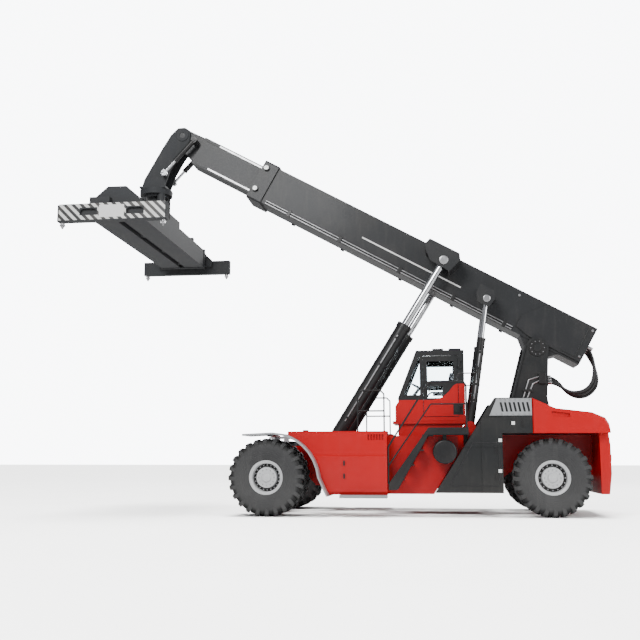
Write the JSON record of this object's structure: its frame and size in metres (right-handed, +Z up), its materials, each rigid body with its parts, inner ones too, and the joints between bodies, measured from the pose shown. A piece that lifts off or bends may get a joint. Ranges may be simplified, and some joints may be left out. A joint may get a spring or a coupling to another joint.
{
  "type": "reach stacker",
  "caption": "Wheeled container handler with a telescopic lift boom over a central cab, rear steering and a turning spreader that grips freight containers by their top corners.",
  "frame": {"origin": "on the ground under the middle of the overall box at rest", "axes": "+X forward, +Y to the machine left, +Z up"},
  "size_m": [11.7263, 6.06, 9.3671],
  "materials": {
    "red_paint": "gloss signal red",
    "boom_paint": "satin dark grey",
    "charcoal_paint": "satin charcoal",
    "silver_paint": "satin silver grey",
    "attachment_paint": "satin dark grey",
    "black_steel": "black paint",
    "machined_steel": "machined",
    "chrome": "polished",
    "cast_iron": "cast and painted",
    "tyre": "worn rubber",
    "rim_paint": "light grey",
    "seat_cloth": "woven",
    "glass": "tinted",
    "lamp_glass": "clear",
    "rubber": "hose rubber",
    "plastic": "moulded"
  },
  "bodies": {
    "chassis": {"chassis_frame": "red_paint", "boom_tower": "charcoal_paint", "front_axle": "cast_iron", "steer_axle": "cast_iron", "counterweight": "red_paint", "rear_hood": "red_paint", "engine_covers": "charcoal_paint", "side_tanks": "red_paint", "engine_block": "cast_iron", "front_mudguards": "silver_paint", "cab_sides": "charcoal_paint", "cab_floor": "charcoal_paint", "cab_roof": "charcoal_paint", "cab_end_walls": "charcoal_paint", "cab_base": "red_paint", "operator_seat": "seat_cloth", "louvre_panels": "silver_paint", "side_bars": "silver_paint", "stairs": "black_steel", "air_cleaners": "black_steel", "handrails": "black_steel", "rear_deck": "red_paint", "cab_glass": "glass", "cab_skirts": "red_paint", "cab_console": "plastic", "chassis_lamps": "lamp_glass", "mirrors": "black_steel", "tail_hose_1": "rubber", "tail_hose_2": "rubber", "tail_hose_3": "rubber"},
    "cab_door": {"cab_door": "charcoal_paint", "cab_door_glass": "glass", "door_skirt": "red_paint"},
    "front_wheels_left": {"front_tyres_left": "tyre", "front_rims_left": "rim_paint"},
    "front_wheels_right": {"front_tyres_right": "tyre", "front_rims_right": "rim_paint"},
    "knuckle_left": {"knuckle_left": "cast_iron"},
    "knuckle_right": {"knuckle_right": "cast_iron"},
    "rear_wheel_left": {"rear_tyre_left": "tyre", "rear_rim_left": "rim_paint"},
    "rear_wheel_right": {"rear_tyre_right": "tyre", "rear_rim_right": "rim_paint"},
    "boom": {"outer_boom": "boom_paint", "boom_lamps": "lamp_glass"},
    "boom_extension": {"inner_boom": "boom_paint"},
    "lift_barrels": {"lift_barrels": "black_steel"},
    "lift_rods": {"lift_rods": "chrome"},
    "hold_barrels": {"hold_barrels": "black_steel"},
    "hold_rods": {"hold_rods": "chrome"},
    "yoke": {"yoke": "attachment_paint"},
    "damper_barrels": {"damper_barrels": "black_steel"},
    "damper_rods": {"damper_rods": "chrome"},
    "rotator": {"rotator": "attachment_paint"},
    "spreader": {"spreader_frame": "attachment_paint"},
    "arm_left": {"arm_left": "attachment_paint", "twistlocks_left": "machined_steel"},
    "arm_right": {"arm_right": "attachment_paint", "twistlocks_right": "machined_steel"}
  },
  "joints": [
    {"name": "boom_lift", "type": "hinge", "parent": "chassis", "child": "boom", "pos_m": [-4.5, 0, 3.68], "axis": [0, 1, 0], "range_deg": [-31, 29], "deforming": ["tail_hose_1", "tail_hose_2", "tail_hose_3"]},
    {"name": "boom_extend", "type": "slide", "parent": "boom", "child": "boom_extension", "axis": [0.8746, 0, 0.4848], "range_m": [-0.9, 5.8]},
    {"name": "lift_barrel_swing", "type": "hinge", "parent": "chassis", "child": "lift_barrels", "pos_m": [0.25, 0, 1.32], "axis": [0, 1, 0], "range_deg": [-4.12, 3.88]},
    {"name": "lift_rod_slide", "type": "slide", "parent": "lift_barrels", "child": "lift_rods", "axis": [-0.5291, 0, 0.8485], "range_m": [-1.3856, 1.4792]},
    {"name": "hold_barrel_swing", "type": "hinge", "parent": "chassis", "child": "hold_barrels", "pos_m": [-2.95, 0, 1.9], "axis": [0, 1, 0], "range_deg": [-10.66, 10.04]},
    {"name": "hold_rod_slide", "type": "slide", "parent": "hold_barrels", "child": "hold_rods", "axis": [-0.1493, 0, 0.9888], "range_m": [-0.638, 0.6811]},
    {"name": "yoke_swing", "type": "hinge", "parent": "boom_extension", "child": "yoke", "pos_m": [3.91463, 0, 9.16752], "axis": [0, -1, 0], "range_deg": [-33, 33]},
    {"name": "damper_barrel_swing", "type": "hinge", "parent": "boom_extension", "child": "damper_barrels", "pos_m": [3.57487, 0, 8.96776], "axis": [0, -1, 0], "range_deg": [-34.23, 34.23]},
    {"name": "damper_rod_slide", "type": "slide", "parent": "damper_barrels", "child": "damper_rods", "axis": [0.6788, 0, -0.7343], "range_m": [-0.2204, 0.2204]},
    {"name": "spreader_turn", "type": "hinge", "parent": "yoke", "child": "rotator", "pos_m": [4.63463, 0, 7.66752], "axis": [0, 0, 1], "range_deg": [-195, 105]},
    {"name": "side_shift", "type": "slide", "parent": "rotator", "child": "spreader", "axis": [0, 1, 0], "range_m": [-0.8, 0.8]},
    {"name": "left_arm_slide", "type": "slide", "parent": "spreader", "child": "arm_left", "axis": [0, 1, 0], "range_m": [0, 3.06]},
    {"name": "right_arm_slide", "type": "slide", "parent": "spreader", "child": "arm_right", "axis": [0, -1, 0], "range_m": [0, 3.06]},
    {"name": "cab_door_swing", "type": "hinge", "parent": "chassis", "child": "cab_door", "pos_m": [-2.74, 0.702, 2.8], "axis": [0, 0, 1], "range_deg": [0, 85]},
    {"name": "front_wheels_left_spin", "type": "hinge", "parent": "chassis", "child": "front_wheels_left", "pos_m": [1.4, 1.515, 0.82], "axis": [0, 1, 0], "continuous": true},
    {"name": "front_wheels_right_spin", "type": "hinge", "parent": "chassis", "child": "front_wheels_right", "pos_m": [1.4, -1.515, 0.82], "axis": [0, 1, 0], "continuous": true},
    {"name": "steer_left", "type": "hinge", "parent": "chassis", "child": "knuckle_left", "pos_m": [-4.6, 1.095, 0.82], "axis": [0, 0, 1], "range_deg": [-60, 60]},
    {"name": "steer_right", "type": "hinge", "parent": "chassis", "child": "knuckle_right", "pos_m": [-4.6, -1.095, 0.82], "axis": [0, 0, 1], "range_deg": [-60, 60]},
    {"name": "rear_wheel_left_spin", "type": "hinge", "parent": "knuckle_left", "child": "rear_wheel_left", "pos_m": [-4.6, 1.395, 0.82], "axis": [0, 1, 0], "continuous": true},
    {"name": "rear_wheel_right_spin", "type": "hinge", "parent": "knuckle_right", "child": "rear_wheel_right", "pos_m": [-4.6, -1.395, 0.82], "axis": [0, 1, 0], "continuous": true}
  ],
  "couplings": [
    {"joint": "lift_barrel_swing", "follows": "boom_lift", "ratio": 0.119},
    {"joint": "lift_rod_slide", "follows": "boom_lift", "m_per_rad": -2.682},
    {"joint": "hold_barrel_swing", "follows": "boom_lift", "ratio": 0.308},
    {"joint": "hold_rod_slide", "follows": "boom_lift", "m_per_rad": -1.235},
    {"joint": "damper_barrel_swing", "follows": "yoke_swing", "ratio": 0.926},
    {"joint": "damper_rod_slide", "follows": "yoke_swing", "m_per_rad": 0.368},
    {"joint": "right_arm_slide", "follows": "left_arm_slide", "ratio": 1},
    {"joint": "steer_right", "follows": "steer_left", "ratio": 1}
  ]
}
